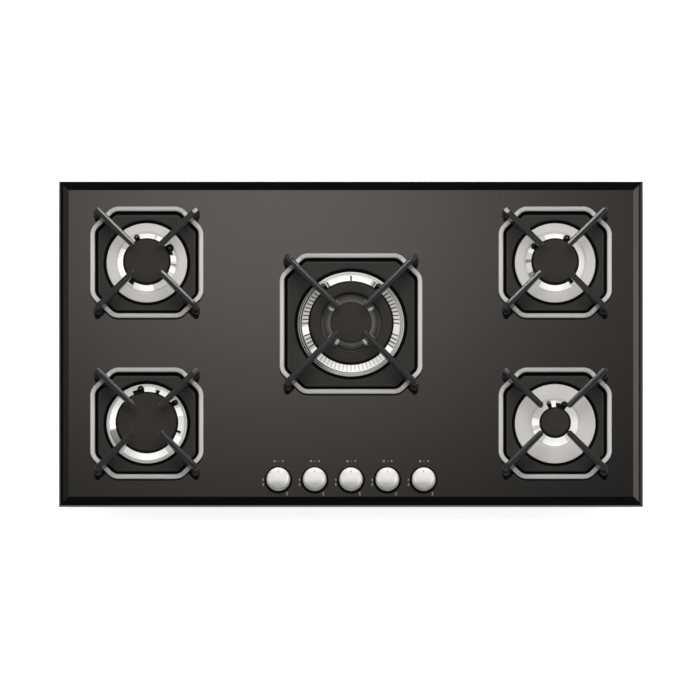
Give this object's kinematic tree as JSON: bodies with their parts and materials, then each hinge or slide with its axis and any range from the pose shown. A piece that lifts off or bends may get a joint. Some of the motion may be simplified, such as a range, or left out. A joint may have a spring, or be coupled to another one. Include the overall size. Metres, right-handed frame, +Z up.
{
  "type": "gas cooktop",
  "caption": "Built-in gas hob: a bevelled black glass panel over a steel tray, with burners under lift-off pan supports and a row of push-and-turn taps.",
  "frame": {"origin": "centre of the tray's underside, under the centre of the glass", "axes": "+X to the right as the cook stands, +Y towards the rear, +Z up; the knobs are at -Y"},
  "size_m": [0.9, 0.51, 0.105],
  "materials": {
    "black_glass": "gloss, printed black from behind",
    "tray_steel": "semi-gloss black-grey",
    "foam": "matt",
    "galvanised": "satin",
    "cast_aluminium": "cast, fine grain",
    "dish_steel": "satin",
    "black_enamel": "matt enamel",
    "crown_aluminium": "turned, bright",
    "bar_steel": "satin",
    "black_iron": "enamelled, semi-matt",
    "black_rubber": "matt",
    "seal_plastic": "matt",
    "knob_metal": "satin",
    "spindle_steel": "plain",
    "tap_brass": "plain",
    "tube_aluminium": "plain drawn",
    "rail_steel": "zinc plated",
    "ceramic": "glazed tip",
    "sensor_steel": "heat tinted",
    "module_plastic": "moulded",
    "gland_plastic": "moulded",
    "screw_steel": "zinc plated"
  },
  "bodies": {
    "hob_base": {"glass_panel": "black_glass", "base_tray": "tray_steel", "perimeter_seal": "foam", "burner_bars": "galvanised", "burner_cups": "cast_aluminium", "drip_dishes": "dish_steel", "spill_plates": "black_enamel", "knob_seals": "seal_plastic", "manifold_rail": "rail_steel", "gas_inlet": "tap_brass", "gas_taps": "tap_brass", "gas_tubes": "tube_aluminium", "brass_fittings": "tap_brass", "spark_igniters": "ceramic", "thermocouples": "sensor_steel", "ignition_module": "module_plastic", "cable_gland": "gland_plastic", "worktop_clamps": "galvanised", "fixing_screws": "screw_steel"},
    "pan_support_rear_left": {"pan_support_frame_rear_left": "bar_steel", "pan_support_arms_rear_left": "black_iron", "pan_support_feet_rear_left": "black_rubber"},
    "pan_support_rear_right": {"pan_support_frame_rear_right": "bar_steel", "pan_support_arms_rear_right": "black_iron", "pan_support_feet_rear_right": "black_rubber"},
    "pan_support_front_left": {"pan_support_frame_front_left": "bar_steel", "pan_support_arms_front_left": "black_iron", "pan_support_feet_front_left": "black_rubber"},
    "pan_support_front_right": {"pan_support_frame_front_right": "bar_steel", "pan_support_arms_front_right": "black_iron", "pan_support_feet_front_right": "black_rubber"},
    "pan_support_centre": {"pan_support_frame_centre": "bar_steel", "pan_support_arms_centre": "black_iron", "pan_support_feet_centre": "black_rubber"},
    "crown_rear_left": {"burner_crown_rear_left": "crown_aluminium"},
    "cap_rear_left": {"burner_cap_rear_left": "black_enamel"},
    "crown_rear_right": {"burner_crown_rear_right": "crown_aluminium"},
    "cap_rear_right": {"burner_cap_rear_right": "black_enamel"},
    "crown_front_left": {"burner_crown_front_left": "crown_aluminium"},
    "cap_front_left": {"burner_cap_front_left": "black_enamel"},
    "crown_front_right": {"burner_crown_front_right": "crown_aluminium"},
    "cap_front_right": {"burner_cap_front_right": "black_enamel"},
    "crown_centre": {"burner_crown_centre": "crown_aluminium"},
    "cap_centre_outer": {"burner_cap_centre_outer": "black_enamel"},
    "cap_centre_inner": {"burner_cap_centre_inner": "black_enamel"},
    "plug_front_left": {"tap_plug_front_left": "tap_brass"},
    "knob_front_left": {"tap_spindle_front_left": "spindle_steel", "knob_front_left": "knob_metal"},
    "plug_rear_left": {"tap_plug_rear_left": "tap_brass"},
    "knob_rear_left": {"tap_spindle_rear_left": "spindle_steel", "knob_rear_left": "knob_metal"},
    "plug_centre": {"tap_plug_centre": "tap_brass"},
    "knob_centre": {"tap_spindle_centre": "spindle_steel", "knob_centre": "knob_metal"},
    "plug_rear_right": {"tap_plug_rear_right": "tap_brass"},
    "knob_rear_right": {"tap_spindle_rear_right": "spindle_steel", "knob_rear_right": "knob_metal"},
    "plug_front_right": {"tap_plug_front_right": "tap_brass"},
    "knob_front_right": {"tap_spindle_front_right": "spindle_steel", "knob_front_right": "knob_metal"}
  },
  "joints": [
    {"name": "lift_pan_support_rear_left", "type": "slide", "parent": "hob_base", "child": "pan_support_rear_left", "axis": [0, 0, 1], "range_m": [0, 0.12]},
    {"name": "lift_pan_support_rear_right", "type": "slide", "parent": "hob_base", "child": "pan_support_rear_right", "axis": [0, 0, 1], "range_m": [0, 0.12]},
    {"name": "lift_pan_support_front_left", "type": "slide", "parent": "hob_base", "child": "pan_support_front_left", "axis": [0, 0, 1], "range_m": [0, 0.12]},
    {"name": "lift_pan_support_front_right", "type": "slide", "parent": "hob_base", "child": "pan_support_front_right", "axis": [0, 0, 1], "range_m": [0, 0.12]},
    {"name": "lift_pan_support_centre", "type": "slide", "parent": "hob_base", "child": "pan_support_centre", "axis": [0, 0, 1], "range_m": [0, 0.12]},
    {"name": "lift_crown_rear_left", "type": "slide", "parent": "hob_base", "child": "crown_rear_left", "axis": [0, 0, 1], "range_m": [0, 0.006]},
    {"name": "lift_cap_rear_left", "type": "slide", "parent": "crown_rear_left", "child": "cap_rear_left", "axis": [0, 0, 1], "range_m": [0, 0.005]},
    {"name": "lift_crown_rear_right", "type": "slide", "parent": "hob_base", "child": "crown_rear_right", "axis": [0, 0, 1], "range_m": [0, 0.006]},
    {"name": "lift_cap_rear_right", "type": "slide", "parent": "crown_rear_right", "child": "cap_rear_right", "axis": [0, 0, 1], "range_m": [0, 0.005]},
    {"name": "lift_crown_front_left", "type": "slide", "parent": "hob_base", "child": "crown_front_left", "axis": [0, 0, 1], "range_m": [0, 0.006]},
    {"name": "lift_cap_front_left", "type": "slide", "parent": "crown_front_left", "child": "cap_front_left", "axis": [0, 0, 1], "range_m": [0, 0.005]},
    {"name": "lift_crown_front_right", "type": "slide", "parent": "hob_base", "child": "crown_front_right", "axis": [0, 0, 1], "range_m": [0, 0.006]},
    {"name": "lift_cap_front_right", "type": "slide", "parent": "crown_front_right", "child": "cap_front_right", "axis": [0, 0, 1], "range_m": [0, 0.005]},
    {"name": "lift_crown_centre", "type": "slide", "parent": "hob_base", "child": "crown_centre", "axis": [0, 0, 1], "range_m": [0, 0.006]},
    {"name": "lift_cap_centre_outer", "type": "slide", "parent": "crown_centre", "child": "cap_centre_outer", "axis": [0, 0, 1], "range_m": [0, 0.005]},
    {"name": "lift_cap_centre_inner", "type": "slide", "parent": "crown_centre", "child": "cap_centre_inner", "axis": [0, 0, 1], "range_m": [0, 0.005]},
    {"name": "turn_tap_front_left", "type": "hinge", "parent": "hob_base", "child": "plug_front_left", "pos_m": [-0.112, -0.214, 0.05], "axis": [0, 0, 1], "range_deg": [0, 210]},
    {"name": "push_knob_front_left", "type": "slide", "parent": "plug_front_left", "child": "knob_front_left", "axis": [0, 0, -1], "range_m": [0, 0.0033], "stiffness_N_per_m": 1500, "springref_m": -0.002},
    {"name": "turn_tap_rear_left", "type": "hinge", "parent": "hob_base", "child": "plug_rear_left", "pos_m": [-0.056, -0.214, 0.05], "axis": [0, 0, 1], "range_deg": [0, 210]},
    {"name": "push_knob_rear_left", "type": "slide", "parent": "plug_rear_left", "child": "knob_rear_left", "axis": [0, 0, -1], "range_m": [0, 0.0033], "stiffness_N_per_m": 1500, "springref_m": -0.002},
    {"name": "turn_tap_centre", "type": "hinge", "parent": "hob_base", "child": "plug_centre", "pos_m": [0, -0.214, 0.05], "axis": [0, 0, 1], "range_deg": [0, 210]},
    {"name": "push_knob_centre", "type": "slide", "parent": "plug_centre", "child": "knob_centre", "axis": [0, 0, -1], "range_m": [0, 0.0033], "stiffness_N_per_m": 1500, "springref_m": -0.002},
    {"name": "turn_tap_rear_right", "type": "hinge", "parent": "hob_base", "child": "plug_rear_right", "pos_m": [0.056, -0.214, 0.05], "axis": [0, 0, 1], "range_deg": [0, 210]},
    {"name": "push_knob_rear_right", "type": "slide", "parent": "plug_rear_right", "child": "knob_rear_right", "axis": [0, 0, -1], "range_m": [0, 0.0033], "stiffness_N_per_m": 1500, "springref_m": -0.002},
    {"name": "turn_tap_front_right", "type": "hinge", "parent": "hob_base", "child": "plug_front_right", "pos_m": [0.112, -0.214, 0.05], "axis": [0, 0, 1], "range_deg": [0, 210]},
    {"name": "push_knob_front_right", "type": "slide", "parent": "plug_front_right", "child": "knob_front_right", "axis": [0, 0, -1], "range_m": [0, 0.0033], "stiffness_N_per_m": 1500, "springref_m": -0.002}
  ]
}
